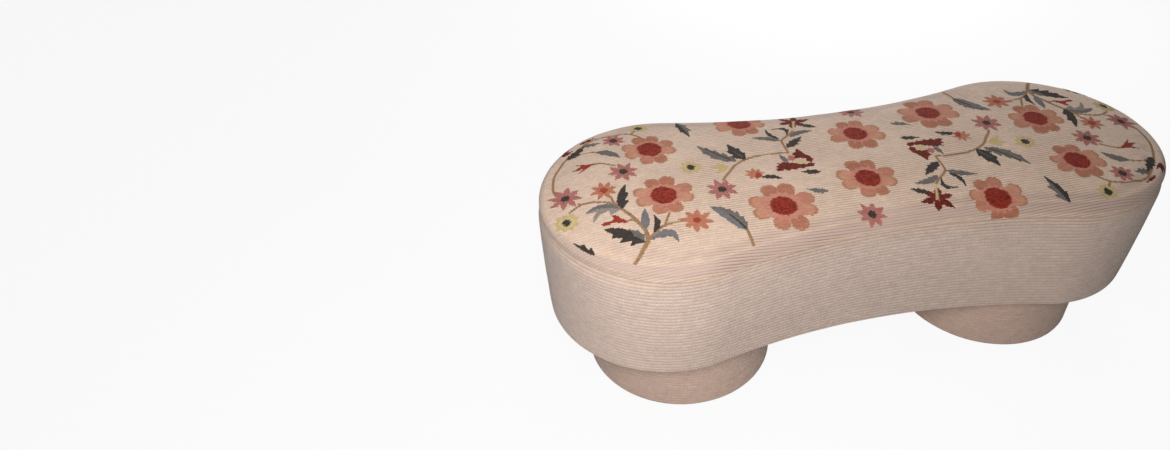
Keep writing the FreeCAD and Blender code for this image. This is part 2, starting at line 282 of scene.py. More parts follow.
def sweep_round_seat(profile, spacing, ring=False, closed=False):
    """Carries a profile of (inset, height) points round a quarter of the seat's outline and mirrors it.

    A closed one is carried on to the middle line first. The vertices keep their step along the profile in the
    layer station."""
    bm = bmesh.new()
    station = bm.verts.layers.int.new("station")
    points = [(inset - half_spacing - lobe_radius, 0.0, height) for inset, height in profile]
    start, edges = chain(bm, points, ring)
    for step, vert in enumerate(start):
        vert[station] = step
    lobe = bmesh.ops.spin(bm, geom=start + edges, cent=(-half_spacing, 0, 0), axis=(0, 0, 1),
                          angle=lobe_turn, steps=round(lobe_radius * lobe_turn / spacing))
    bmesh.ops.spin(bm, geom=lobe["geom_last"], cent=(0, -waist_centre, 0), axis=(0, 0, 1),
                   angle=-waist_turn, steps=round(waist_radius * waist_turn / spacing))
    if closed:
        close_top(bm, len(profile) - 1)
    for axis in ("X", "Y"):
        bmesh.ops.mirror(bm, geom=bm.verts[:] + bm.edges[:] + bm.faces[:], matrix=Matrix(),
                         merge_dist=same_point, axis=axis)
    bmesh.ops.remove_doubles(bm, verts=bm.verts, dist=same_point)
    bmesh.ops.dissolve_degenerate(bm, edges=bm.edges, dist=same_point)
    bmesh.ops.recalc_face_normals(bm, faces=bm.faces)
    return bm


def new_mesh(name, bm, *finishes):
    """A mesh of a bmesh's shape, with its finishes."""
    mesh = bpy.data.meshes.new(name)
    bm.to_mesh(mesh)
    for finish in finishes:
        mesh.materials.append(finish)
    return mesh


def new_object(name, data):
    """Puts a mesh, a lamp or a camera into the scene."""
    made = bpy.data.objects.new(name, data)
    bpy.context.scene.collection.objects.link(made)
    return made


def make_piece(name, bm, finish, slot, *replaced):
    """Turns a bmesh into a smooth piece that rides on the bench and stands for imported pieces."""
    piece = new_object(name, new_mesh(name, bm, finish))
    piece.data.shade_smooth()
    bm.free()
    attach(piece, "root")
    if replaced:
        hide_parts(*replaced)
    return piece


def wall_inset(height):
    """How far the side wall stands inside the outline at a height, drawn in towards the hem."""
    return side_draw_in * (band_high.z - height) / (band_high.z - band_low.z)


def cut_foam(name, light, dark, cell_scale):
    """Cut foam or wadding: rough, matt and full of small cells."""
    made, tree, shader = new_material(name, Specular_IOR_Level=0.1, Roughness=0.95)
    place = object_place(tree)
    cells = add(tree, "TexVoronoi", Vector=place, Scale=cell_scale).outputs["Distance"]
    body = blend(tree, mottle(tree, place, scale=14.0, detail=4.0), light, dark)
    shaded = maths(tree, "MULTIPLY", cells, cell_shade)
    join(tree, shader.inputs["Base Color"], blend(tree, shaded, body, dark))
    raise_by(tree, shader, cells, depth=0.0008)
    return made


seat_foam_finish = cut_foam("cut_foam", foam_pale, foam_deep, cell_scale=420.0)
foam_low_z, foam_high_z = side_foam_low.z, side_foam_high.z
side_foam_profile = []
for height, layer in ((foam_low_z, 0), (foam_high_z, 0), (foam_high_z, 1), (foam_low_z, 1)):
    side_foam_profile.append((wall_inset(height) + foam_outset + layer * side_foam_thickness, height))
side_foam_shape = sweep_round_seat(side_foam_profile, inner_spacing, ring=True)
side_foam = make_piece("side_foam_wrap", side_foam_shape, seat_foam_finish, "foam",
                       "side_foam_front", "side_foam_rear")
side_foam.data.shade_flat()


# Seat pad: a slab of firm foam with a crowned top and a rolled edge, glued to the upper deck,
# with a sheet of soft white wadding laid over it and tucked round its edge.
# The crown rises steadily from the rolled edge to the middle line of the seat.
top_low, top_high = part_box("top_cover")
foam_under = 0.0075
wadding_under = 0.003
wadding_pale, wadding_deep = paint(240, 238, 230), paint(214, 210, 200)
edge_roll = 0.021
crown_rise = 0.012
crown_end = 0.200
crown_rows = 12
crown_crowding = 1.3
roll_rows = 10
wall_steps = 4
crease_depth = 0.0048
crease_reach = 0.022
crease_fades_from = 0.62
crease_fades_to = 0.47
roll_centre = top_high.z - crown_rise - edge_roll
roll_turn = math.pi / 2 - math.atan(2 * crown_rise / (crown_end - edge_roll))
crown_start = edge_roll * (1 - math.cos(roll_turn))


def crown_height(inset):
    """Height of the covered top at an inset from the outline, beyond the rolled edge."""
    share = min(1.0, max(0.0, (inset - crown_start) / (crown_end - crown_start)))
    low = roll_centre + edge_roll * math.sin(roll_turn)
    return low + (top_high.z - low) * (1 - (1 - share) ** 2)


def top_profile(under, lowest):
    """Profile of the seat's top, a depth under the cloth, from a lowest height to the end of the crown."""
    roll = edge_roll - under
    points = [(under, lowest + (roll_centre - lowest) * row / wall_steps) for row in range(wall_steps)]
    for step in range(roll_rows + 1):
        turn = roll_turn * step / roll_rows
        points.append((edge_roll - roll * math.cos(turn), roll_centre + roll * math.sin(turn)))
    for step in range(1, crown_rows + 1):
        inset = crown_start + (crown_end - crown_start) * (step / crown_rows) ** crown_crowding
        points.append((inset, crown_height(inset) - under))
    return points


def edge_distance(x, y):
    """The inset of a point from the seat's outline in plan, and the direction out of the outline there."""
    rear = math.copysign(waist_centre, y)
    if math.atan2(abs(x), waist_centre - abs(y)) < waist_turn:
        outward = Vector((-x, rear - y))
        return outward.length - waist_radius, outward.normalized()
    outward = Vector((x - math.copysign(half_spacing, x), y))
    return lobe_radius - outward.length, outward.normalized()


def crease_share(x):
    """How deep the seam's crease is at a place along the bench: full round the ends, none at the waist."""
    share = (abs(x) - crease_fades_to) / (crease_fades_from - crease_fades_to)
    share = min(1.0, max(0.0, share))
    return share * share * (3 - 2 * share)


def crease(bm):
    """Presses the cloth beside the seam inwards, as the stitching pulls it."""
    for vert in bm.verts:
        away = abs(vert.co.z - band_high.z) / crease_reach
        inset, outward = edge_distance(vert.co.x, vert.co.y)
        if away < 1 and inset < edge_roll:
            pressed = crease_depth * crease_share(vert.co.x) * (0.5 + 0.5 * math.cos(math.pi * away))
            vert.co.xy -= outward * pressed


def padded_layer(name, node, under, finish, slot):
    """A crowned layer of the seat pad, closed underneath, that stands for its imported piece."""
    low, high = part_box(node)
    bm = sweep_round_seat(top_profile(under, low.z), inner_spacing, closed=True)
    crease(bm)
    bmesh.ops.edgeloop_fill(bm, edges=[edge for edge in bm.edges if edge.is_boundary])
    bmesh.ops.recalc_face_normals(bm, faces=bm.faces)
    piece = make_piece(name, bm, finish, slot, node)


wadding_finish = cut_foam("soft_wadding", wadding_pale, wadding_deep, cell_scale=160.0)
padded_layer("seat_foam_pad", "seat_foam", foam_under, seat_foam_finish, "foam")
padded_layer("seat_wadding_wrap", "seat_wadding", wadding_under, wadding_finish, "wadding")


# Side cover: a straight band of ribbed cream cloth round the whole seat, joined to the top panel by a seam
# under the rolled edge, pulled down tight over the foam and stapled under the base with a narrow hem.
# Its ribs run level round the walls, and its own join is at the middle of the rear.
cover_thickness = 0.0018
band_spacing = 0.009
hem_inset = 0.038
bottom_roll = 0.005
corner_steps = 4
corner_turns = [math.pi / 2 * step / corner_steps for step in range(corner_steps + 1)]
wall_rows = 26
wall_crowding = 1.25
belly = 0.0016
join_depth = 0.0012
broad_swells, small_dents = 6.0, 21.0
row_pitch = 0.0065
side_pitch = 0.0085

# The rows wander a little, in long waves and in short ones.
long_waves, long_sway = 6, 0.0022
short_waves, short_sway = 26, 0.0007
short_start = 5.0

# The weave: the length of a bead by the row's pitch, how deep the beads are, how often the yarn and its fuzz
# change along a metre, how far apart two rows' yarns are, and what each gives to the height of a row.
bead_length = 0.55
bead_depth = 0.3
yarn_changes = 45.0
yarns_apart = 5.37
fuzz_changes = 260.0
yarn_height, fuzz_height, least_height = 0.4, 0.5, 0.55
gap_reach = 0.75
loops_per_metre = 330.0
yarn_even_from, yarn_even_to = 0.36, 0.64
wear_share = 0.25
# The painted shade in the grooves between rows comes and goes in patches, between patch_least and full.
patch_from, patch_to, patch_least = 0.38, 0.62, 0.35

# The cream tones change with height to the top's, and the rolled edge has a painted shade of one tone.
cream_light, cream_dark = paint(238, 212, 197), paint(202, 179, 165)
top_light, top_dark = paint(242, 212, 190), paint(206, 179, 158)
roll_shade_tone, groove_shade_tone = paint(198, 172, 158), paint(148, 118, 101)
top_tone_from, top_tone_to = 0.385, 0.45
# The painted shade in the grooves between rows is deeper on the top and fainter towards the ends.
groove_shade_full_reach, groove_shade_faint_reach, groove_shade_end_share = 0.36, 0.62, 0.3
roll_shade_from, roll_shade_to = 0.08, 0.36
top_groove_shade = 0.5


def way_round(x, y, half):
    """The length round the outline from the middle of the rear to a point, by way of the left end.

    half says which half, left or right, a point on the middle line belongs to."""
    turn = math.atan2(abs(x), waist_centre - abs(y))
    if turn < waist_turn:
        from_end = lobe_radius * lobe_turn + (waist_turn - turn) * waist_radius
    else:
        from_end = lobe_radius * math.atan2(abs(y), abs(x) - half_spacing)
    ahead = -from_end if (y > 0) == (half < 0) else from_end
    return (1 if half < 0 else 3) * quarter_round + ahead


def loosen(bm, swell, flutter):
    """Makes the padding a little uneven: broad swells and smaller dents that fade out at the seam."""
    bm.normal_update()
    moves = []
    for vert in bm.verts:
        clear = min(1.0, abs(vert.co.z - band_high.z) / crease_reach)
        broad = noise.noise(vert.co * broad_swells)
        small = noise.noise(vert.co * small_dents)
        moves.append(vert.normal * clear * (swell * broad + flutter * small))
    for vert, move in zip(bm.verts, moves):
        vert.co += move


def build_weave():
    """The ribbed weave that all the cloth shares: plump rows of weft, beaded by the warp, spun uneven."""
    group = bpy.data.node_groups.new("ribbed_weave", "ShaderNodeTree")
    group.interface.new_socket("Cloth", in_out="INPUT", socket_type="NodeSocketVector")
    group.interface.new_socket("Row Pitch", in_out="INPUT", socket_type="NodeSocketFloat")
    for name in ("Height", "Gap", "Streak", "Fuzz"):
        group.interface.new_socket(name, in_out="OUTPUT", socket_type="NodeSocketFloat")
    given = group.nodes.new("NodeGroupInput")
    cloth, pitch = given.outputs["Cloth"], given.outputs["Row Pitch"]
    place = split(group, cloth)
    rows = maths(group, "DIVIDE", place["Y"], pitch)
    row = maths(group, "FLOOR", rows)
    crest = maths(group, "SINE", maths(group, "MULTIPLY", maths(group, "FRACT", rows), math.pi))
    beads = maths(group, "DIVIDE", place["X"], maths(group, "MULTIPLY", pitch, bead_length))
    staggered = maths(group, "MULTIPLY_ADD", row, 0.5, beads)
    bead = maths(group, "ABSOLUTE", maths(group, "SINE", maths(group, "MULTIPLY", staggered, math.pi)))
    plump = maths(group, "MULTIPLY_ADD", bead, bead_depth, 1 - bead_depth)
    yarn_place = add(group, "CombineXYZ", X=maths(group, "MULTIPLY", place["X"], yarn_changes),
                     Y=maths(group, "MULTIPLY", row, yarns_apart)).outputs[0]
    streak = mottle(group, yarn_place, scale=1.0, detail=4.0, Roughness=0.65)
    fuzz = mottle(group, cloth, scale=fuzz_changes, detail=4.0, Roughness=0.65)
    thick = maths(group, "MULTIPLY_ADD", streak, yarn_height,
                  maths(group, "MULTIPLY_ADD", fuzz, fuzz_height, least_height))
    height = maths(group, "MULTIPLY", maths(group, "MULTIPLY", crest, plump), thick)
    gap = ramp(group, crest, 0.0, gap_reach, low=1.0, high=0.0, kind="SMOOTHSTEP")
    results = group.nodes.new("NodeGroupOutput")
    for name, value in (("Height", height), ("Gap", gap), ("Streak", streak), ("Fuzz", fuzz)):
        group.links.new(value, results.inputs[name])
    return group


weave = build_weave()


def towards_top(tree, light, dark, groove_shade):
    """The cream cloth's tones and the strength of its painted shade in the grooves between rows: warmer on
    the top, with deeper painted groove shade there and fainter at the ends, and one tone of painted shade on
    the rolled edge."""
    place = split(tree, object_place(tree))
    share = ramp(tree, place["Z"], top_tone_from, top_tone_to, kind="SMOOTHSTEP")
    groove_shade_share = ramp(tree, maths(tree, "ABSOLUTE", place["X"]), groove_shade_full_reach, groove_shade_faint_reach,
                  low=1.0, high=groove_shade_end_share, kind="SMOOTHSTEP")
    # Painted shade: where the rolled edge slopes towards the front and rear, both tones give way to one
    # darker tone.
    facing = split(tree, add(tree, "NewGeometry").outputs["Normal"])
    lean = maths(tree, "MULTIPLY", maths(tree, "ABSOLUTE", facing["Y"]), facing["Z"])
    bent = ramp(tree, lean, roll_shade_from, roll_shade_to, kind="SMOOTHSTEP")
    groove_shades = maths(tree, "MULTIPLY", maths(tree, "MULTIPLY_ADD", share, top_groove_shade, groove_shade), groove_shade_share)
    light = blend(tree, bent, blend(tree, share, light, top_light), roll_shade_tone)
    return light, blend(tree, bent, blend(tree, share, dark, top_dark), roll_shade_tone), groove_shades


def ribbed_cloth(name, light, dark, pitch, groove_shade, rib_depth, sheen=0.2, cover=False, looped=False):
    """Ribbed cloth dyed in a light and a dark tone, with matt wool that catches light along its fuzz.

    Looped wool stands up in small knots, each of its own tone."""
    made, tree, shader = new_material(name, Specular_IOR_Level=0.15, Sheen_Weight=sheen, Sheen_Roughness=0.5)
    place = add(tree, "UVMap", {"uv_map": "cloth"}).outputs["UV"]
    if cover:
        light, dark, groove_shade = towards_top(tree, light, dark, groove_shade)
    rows = add(tree, "Group", {"node_tree": weave}, Cloth=place, Row_Pitch=pitch).outputs
    spun = maths(tree, "MULTIPLY", maths(tree, "ADD", rows["Streak"], rows["Fuzz"]), 0.5)
    even = ramp(tree, spun, yarn_even_from, yarn_even_to)
    if looped:
        loops = add(tree, "TexVoronoi", Vector=place, Scale=loops_per_metre).outputs["Color"]
        even = add(tree, "SeparateColor", Color=loops).outputs[0]
    yarn = blend(tree, even, dark, light)
    patches = mottle(tree, place, scale=7.0, detail=3.0)
    worn = blend(tree, maths(tree, "MULTIPLY", patches, wear_share), yarn, dark)
    groove_shade_share = ramp(tree, patches, patch_from, patch_to, low=patch_least)
    # Painted shade: the grooves between rows are mixed towards a dark tone.
    shade = maths(tree, "MULTIPLY", rows["Gap"], maths(tree, "MULTIPLY", groove_shade_share, groove_shade))
    shaded_groove = blend(tree, 1.0, worn, groove_shade_tone, "MULTIPLY")
    colour_in(tree, shader, blend(tree, shade, worn, shaded_groove), rows["Gap"], smoothest=0.85, roughest=0.95)
    raise_by(tree, shader, rows["Height"], rib_depth)
    return made


def thicken(piece, thickness):
    """Gives cloth its thickness, inwards from the outer face."""
    solid = piece.modifiers.new("thickness", "SOLIDIFY")
    solid.thickness = thickness
    solid.offset = -1.0


def finish_cover(piece):
    """Rounds a cover's mesh and gives the cloth its thickness."""
    smooth = piece.modifiers.new("rounding", "SUBSURF")
    smooth.levels = smooth.render_levels = 1
    thicken(piece, cover_thickness)


def row_sway(x, y):
    """How far the rows of the weave wander from straight at a place on the flat cloth."""
    long_wave = noise.noise(Vector((x * long_waves, y * long_waves, 0.0)))
    short_wave = noise.noise(Vector((x * short_waves, y * short_waves, short_start)))
    return long_sway * long_wave + short_sway * short_wave


def swayed(x, y):
    """A place on the flat cloth, with the wandering of its row taken in."""
    return (x, y + row_sway(x, y))


def press_join(bm, along):
    """Pulls in the upright join of a cover at its rear, where the two ends of the cloth are sewn together."""
    for vert in bm.verts:
        if abs(vert.co.x - along) < same_point and vert.co.y > 0:
            vert.co.y -= join_depth


def map_cloth(bm, flat_place):
    """Lays out the cloth's own UV map, in metres of flat cloth, from each face's corners."""
    layer = bm.loops.layers.uv.new("cloth")
    for face in bm.faces:
        centre = face.calc_center_median()
        for loop in face.loops:
            loop[layer].uv = flat_place(loop.vert.co, centre)


side_cloth = ribbed_cloth("cream_side_cloth", cream_light, cream_dark, side_pitch, groove_shade=0.25,
                          rib_depth=0.0008, cover=True)
corner_height = band_low.z + bottom_roll
band_profile = [(hem_inset, band_low.z), ((hem_inset + side_draw_in) / 2, band_low.z)]
for turn in corner_turns:
    band_profile.append((side_draw_in + bottom_roll * (1 - math.sin(turn)),
                         corner_height - bottom_roll * math.cos(turn)))
for step in range(1, wall_rows + 1):
    share = 1 - (1 - step / wall_rows) ** wall_crowding
    height = corner_height + (band_high.z - corner_height) * share
    band_profile.append((wall_inset(height) - belly * math.sin(math.pi * share), height))
band_shape = sweep_round_seat(band_profile, band_spacing)
crease(band_shape)
loosen(band_shape, swell=0.0008, flutter=0.0004)
press_join(band_shape, along=0.0)
map_cloth(band_shape, lambda co, centre: swayed(way_round(co.x, co.y, centre.x), co.z))
side_band = make_piece("side_band", band_shape, side_cloth, "cover_cloth", "side_cover")
finish_cover(side_band)


# Top cover: one panel of the same cloth, cut to the seat's outline, pulled over the wadding and the rolled
# edge and sewn to the side band. Its ribs run along the bench and on over the front and rear edges.
panel_spacing = 0.010
pressed_in = 0.0015
swell_pressure = 4.0
swell_frames = 20
swell_most = 0.003


def panel_place(co, centre):
    """Where a point of the panel lay on the flat cloth, before it was bent over the rolled edge."""
    inset, outward = edge_distance(co.x, co.y)
    hidden = 0.0
    if inset < crown_start:
        turn = math.atan2(max(0.0, co.z - roll_centre), max(0.0, edge_roll - inset))
        down = max(0.0, roll_centre - co.z)
        hidden = edge_roll * (roll_turn - turn) + down - (crown_start - max(0.0, inset))
    return swayed(*(co.xy + outward * hidden))


def swell_up(bm, seam_height):
    """Lets the wadding push the panel up from a pressed start: cloth under pressure, held along the seam."""
    bm.normal_update()
    for vert in bm.verts:
        vert.co -= vert.normal * pressed_in * min(1.0, (vert.co.z - seam_height) / edge_roll)
    panel = new_object("swelling", new_mesh("swelling", bm))
    held = [vert.index for vert in panel.data.vertices if vert.co.z < seam_height + same_point]
    seam = panel.vertex_groups.new(name="seam")
    seam.add(held, 1.0, "REPLACE")
    cloth = panel.modifiers.new("cloth", "CLOTH")
    cloth.settings.vertex_group_mass = seam.name
    cloth.settings.use_pressure = True
    cloth.settings.uniform_pressure_force = swell_pressure
    cloth.settings.effector_weights.gravity = 0.0
    for step in range(1, swell_frames + 1):
        bpy.context.scene.frame_set(step)
    swollen = panel.evaluated_get(bpy.context.evaluated_depsgraph_get()).data
    for vert, point in zip(bm.verts, swollen.vertices):
        rise = (point.co - vert.co).dot(vert.normal)
        vert.co += vert.normal * min(swell_most, max(0.0, rise))
    bpy.data.objects.remove(panel)
    bpy.context.scene.frame_set(1)


panel_shape = sweep_round_seat(top_profile(0.0, top_low.z), panel_spacing, closed=True)
map_cloth(panel_shape, panel_place)
swell_up(panel_shape, top_low.z)
crease(panel_shape)
loosen(panel_shape, swell=0.0009, flutter=0.0004)
top_cloth = ribbed_cloth("cream_top_cloth", cream_light, cream_dark, row_pitch, groove_shade=0.22,
                         rib_depth=0.0007, cover=True)
top_panel = make_piece("top_panel", panel_shape, top_cloth, "cover_cloth", "top_cover")
finish_cover(top_panel)


# Woven flowers: petals, leaves and stems of coloured wool, worked into the top panel along the rows of its
# weave, so their edges step with it. Each run is a plump thread that lies on the crown and over the edge.
# The left half is listed, and the right half is the same turned half round.
pick = row_pitch / 2
run_step = 0.005
shortest_run, long_run = 0.0012, 0.02
run_plump, end_plump = 0.0003, 0.4
run_thickness = 0.0006
ragged_end = 0.0032
ragged_along, ragged_across = 90, 900
start_seed, end_seed = 2.0, 3.0
first_lift, layer_lift = 0.0001, 0.00006
probe_reach = 0.03
millimetre = 0.001
panel_reach = roll_turn * edge_roll + roll_centre - top_low.z - run_thickness
panel_tree = BVHTree.FromObject(top_panel, bpy.context.evaluated_depsgraph_get())

# Each wool has the layer it is worked in, counted up from the cloth, and its light and dark tones.
wools = {
    "ochre": (0, (182, 144, 106), (139, 104, 70)),
    "umber": (1, (200, 145, 116), (166, 112, 86)),
    "salmon": (3, (218, 155, 133), (188, 121, 102)),
    "coral": (2, (212, 148, 122), (174, 106, 84)),
    "peach": (2, (222, 166, 136), (186, 124, 98)),
    "rust": (2, (200, 136, 108), (160, 96, 74)),
    "mauve": (1, (198, 132, 120), (160, 92, 89)),
    "apricot": (1, (203, 139, 107), (173, 101, 76)),
    "slate": (1, (133, 126, 119), (91, 87, 84)),
    "pewter": (1, (172, 160, 149), (128, 119, 112)),
    "steel": (1, (138, 133, 135), (102, 98, 101)),
    "primrose": (1, (216, 194, 142), (190, 164, 104)),
    "maroon": (2, (146, 46, 30), (68, 20, 14)),
    "scarlet": (2, (176, 66, 50), (134, 42, 32)),
    "straw": (3, (224, 204, 160), (200, 176, 126)),
    "charcoal": (4, (80, 70, 63), (47, 41, 38)),
    "brick": (4, (176, 58, 38), (98, 26, 15)),
    "orange": (4, (184, 80, 58), (146, 54, 38)),
    "ash": (5, (118, 114, 110), (92, 89, 88)),
}
looped_wools = ("brick", "maroon")
outlines = {wool: [] for wool in wools}


def lay_on_panel(x, y, lift):
    """Where a point of the flat cloth comes to lie on the panel, raised by the thread's lift."""
    inset, outward = edge_distance(x, y)
    past = crown_start - inset
    if past > 0:
        turn = max(0.0, roll_turn - past / edge_roll)
        down = max(0.0, past - roll_turn * edge_roll)
        place = (Vector((x, y)) + outward * (inset - edge_roll * (1 - math.cos(turn)))).to_3d()
        place.z = roll_centre + edge_roll * math.sin(turn) - down
        facing = (outward * math.cos(turn)).to_3d() + Vector((0, 0, math.sin(turn)))
    else:
        place = Vector((x, y, crown_height(inset)))
        facing = Vector((0, 0, 1))
    found, normal = panel_tree.ray_cast(place + facing * probe_reach, -facing)[:2]
    return found + normal * lift


def runs_across(outline):
    """The runs of wool that fill an outline: where each row of picks enters and leaves it."""
    shape = [swayed(x, y) for x, y in outline]
    first = math.floor(min(level for x, level in shape) / pick)
    last = math.ceil(max(level for x, level in shape) / pick)
    for row in range(first, last):
        middle = (row + 0.5) * pick
        cuts = []
        for (x, level), (next_x, next_level) in zip(shape, shape[1:] + shape[:1]):
            if (level <= middle) != (next_level <= middle):
                cuts.append(x + (next_x - x) * (middle - level) / (next_level - level))
        cuts.sort()
        for start, end in zip(cuts[::2], cuts[1::2]):
            loose = ragged_end * min(1.0, (end - start) / long_run)
            start += loose * noise.noise(Vector((start * ragged_along, middle * ragged_across, start_seed)))
            end += loose * noise.noise(Vector((end * ragged_along, middle * ragged_across, end_seed)))
            if end - start > shortest_run:
                yield start, end, middle


def weave_in(wool):
    """Makes one piece of all the patches of a wool, run by run, laid on the panel."""
    layer, light, dark = wools[wool]
    bm = bmesh.new()
    for outline in outlines[wool]:
        for turned in (millimetre, -millimetre):
            for start, end, middle in runs_across([(turned * x, turned * y) for x, y in outline]):
                half = Matrix.Diagonal(((end - start) / 2, pick / 2, 1, 1))
                run = bmesh.ops.create_grid(bm, x_segments=max(2, math.ceil((end - start) / run_step)),
                                            y_segments=2, size=1.0,
                                            matrix=Matrix.Translation(((start + end) / 2, middle, 0)) @ half)
                for vert in run["verts"]:
                    if abs(vert.co.y - middle) < pick / 4:
                        at_end = min(vert.co.x - start, end - vert.co.x) < shortest_run / 4
                        vert.co.z = run_plump * (end_plump if at_end else 1.0)
    map_cloth(bm, lambda co, centre: co.xy)
    for vert in bm.verts:
        vert.co.y -= row_sway(vert.co.x, vert.co.y)
    past_seam = [vert for vert in bm.verts if crown_start - edge_distance(*vert.co.xy)[0] > panel_reach]
    bmesh.ops.delete(bm, geom=past_seam, context="VERTS")
    for vert in bm.verts:
        x, y, plump = vert.co
        vert.co = lay_on_panel(x, y, first_lift + layer * layer_lift + plump)
    for edge in bm.edges:
        edge.smooth = not edge.is_boundary
    finish = ribbed_cloth(f"{wool}_wool", paint(*light), paint(*dark), pick, groove_shade=0.3, rib_depth=0.0004,
                          sheen=0.06, looped=wool in looped_wools)
    thicken(make_piece(f"{wool}_flowers", bm, finish, "embroidery_wool"), run_thickness)


# These are shares of a shape's reach, width or length, and what sets the steps and the hand of its outline.
# The halves of a leaf overlap at the midrib by rib_overlap, in millimetres.
petal_root = 0.3
shoulder_rise, shoulder_turn = 0.45, 0.6
tip_uneven, tip_lean, knot_uneven = 0.22, 0.3, 0.12
tip_lean_number, petal_lean_number = 9, 20
hand_scale, hand_step = 0.04, 1.7
rib_steps, rib_overlap = 8, 1.6
tooth_tip, tooth_root = 0.96, 0.04
leaf_full, leaf_least, base_power, tip_power = 2.32, 0.07, 0.5, 0.75
bud_neck, bud_along, bud_across, bud_notch = 0.12, 0.42, 0.5, 0.58
span_points, handle_split = 7, 6


def work(wool, *shapes):
    """Adds outlines to those that a wool fills."""
    outlines[wool] += shapes


def polar(centre, radius, angle):
    """A point at a distance and an angle from a centre."""
    return (centre[0] + radius * math.cos(angle), centre[1] + radius * math.sin(angle))


def uneven(x, y, number):
    """A steady small irregularity, from -1 to 1, for the hand that drew each petal."""
    return noise.noise(Vector((x * hand_scale, y * hand_scale, number * hand_step)))


def lobe(centre, radius, axis, side):
    """Outline of half a two-lobed petal, from the notch on its axis round to the corner by the next petal."""
    edge = [polar(centre, radius * share, axis + side * turn) for turn, share in lobe_edge]
    root = petal_root * radius
    return [polar(centre, root, axis)] + edge + [polar(centre, root, axis + side * math.pi / 4)]


def star(centre, radius, tips, notch, heading):
    """Outline of a flower with pointed petals of uneven length."""
    points = []
    shoulder = (notch + shoulder_rise * (1 - notch)) * radius
    half = math.pi / tips
    for tip in range(tips):
        angle = heading + 2 * half * tip
        reach = radius * (1 + tip_uneven * uneven(*centre, tip))
        lean = tip_lean * half * uneven(*centre, tip + tip_lean_number)
        points += [polar(centre, notch * radius, angle - half),
                   polar(centre, shoulder, angle - shoulder_turn * half),
                   polar(centre, reach, angle + lean), polar(centre, shoulder, angle + shoulder_turn * half)]
    return points


def knot(centre, radius, steps, heading=0.0):
    """Outline of a flower's middle, nearly round."""
    reaches = [radius * (1 + knot_uneven * uneven(*centre, step)) for step in range(steps)]
    return [polar(centre, reach, heading + math.tau * step / steps) for step, reach in enumerate(reaches)]


def leaf_half(base, tip, bend, side, width, teeth, depth):
    """Outline of one half of a leaf: along its midrib, and back along an edge with teeth towards the tip."""
    base, tip = Vector(base), Vector(tip)
    axis = tip - base
    across = Vector((-axis.y, axis.x)).normalized()
    bow = (base + tip) / 2 + across * bend

    def rib(share):
        return base * (1 - share) ** 2 + bow * 2 * share * (1 - share) + tip * share ** 2

    points = [rib(step / rib_steps) - across * side * rib_overlap for step in range(rib_steps + 1)]
    for number in range(teeth - 1, -1, -1):
        for share, cut in (((number + tooth_tip) / teeth, 1.0), ((number + tooth_root) / teeth, 1 - depth)):
            full = leaf_full * share ** base_power * (1 - share) ** tip_power
            points.append(rib(share) + across * side * width * max(leaf_least, full * cut))
    return [point[:] for point in points]


def bud(base, prong_tips, width):
    """Outline of a closed bud that widens from its stem and forks into pointed tips, named from its right."""
    base = Vector(base)
    tips = [Vector(tip) for tip in prong_tips]
    axis = sum(tips, Vector((0, 0))) / len(tips) - base
    across = Vector((axis.y, -axis.x)).normalized() * width
    points = [base + across * bud_neck, base + axis * bud_along + across * bud_across]
    for tip, next_tip in zip(tips, tips[1:]):
        points += [tip, base + ((tip + next_tip) / 2 - base) * bud_notch]
    points += [tips[-1], base + axis * bud_along - across * bud_across, base - across * bud_neck]
    return [point[:] for point in points]


def stem(points, width, end_width=None):
    """Outline of a stem: a ribbon along a smooth line through given points."""
    spots = [Vector(point) for point in points]
    line = []
    for index in range(len(spots) - 1):
        first, last = spots[index], spots[index + 1]
        before = spots[index - 1] if index else first
        after = spots[index + 2] if index + 2 < len(spots) else last
        span = geometry.interpolate_bezier(first.to_3d(), (first + (last - before) / handle_split).to_3d(),
                                           (last - (after - first) / handle_split).to_3d(), last.to_3d(),
                                           span_points)
        line += [point.to_2d() for point in span[:-1]]
    line.append(spots[-1])
    left, right = [], []
    for index, point in enumerate(line):
        ahead = line[min(index + 1, len(line) - 1)] - line[max(index - 1, 0)]
        share = index / (len(line) - 1)
        half = (width + ((end_width or width) - width) * share) / 2
        across = Vector((-ahead.y, ahead.x)).normalized() * half
        left.append((point + across)[:])
        right.append((point - across)[:])
    return left + right[::-1]


# Places and sizes from here are in millimetres on the flat cloth, counted from the middle of the seat.
# A rosette has its middle, the reach of its petals, the reach of its dark middle and its turn.
# Its four petals have two lobes each, whose edge has its turn from the petal's axis and its share of the
# reach. A petal has a rim round its own tone, and a pinker ring lies about the middle.
lobe_edge = ((0.0, 0.80), (0.05, 0.88), (0.15, 0.96), (0.28, 1.0), (0.42, 1.0), (0.54, 0.95), (0.64, 0.84),
             (0.71, 0.72), (0.76, 0.58))
inside_rim = 0.93
ring_share = 0.66
petal_lean, petal_uneven = 0.08, 0.13
petal_tones = (("peach", "coral"), ("rust", "rust"), ("peach", "peach"), ("coral", "rust"))
rosettes = (((-440, 124), 60, 29, 0.0), ((-449, -46), 62, 29, -0.03), ((-224, -130), 70, 29, -0.06),
            ((-213, 194), 60, 29, 0.0), ((-22, -82), 63, 28, -0.06))
for centre, reach, middle_reach, turn in rosettes:
    work("salmon", star(centre, reach * ring_share, tips=16, notch=0.82, heading=turn))
    for place, tones in enumerate(petal_tones):
        axis = turn + place * math.pi / 2 + petal_lean * uneven(*centre, place + petal_lean_number)
        for side, tone in zip((-1, 1), tones):
            spread = reach * (1 + petal_uneven * uneven(*centre, 2 * place + side))
            work("umber", lobe(centre, spread, axis, side))
            work(tone, lobe(centre, spread * inside_rim, axis, side))
    work("brick", knot(centre, middle_reach, steps=26, heading=turn))

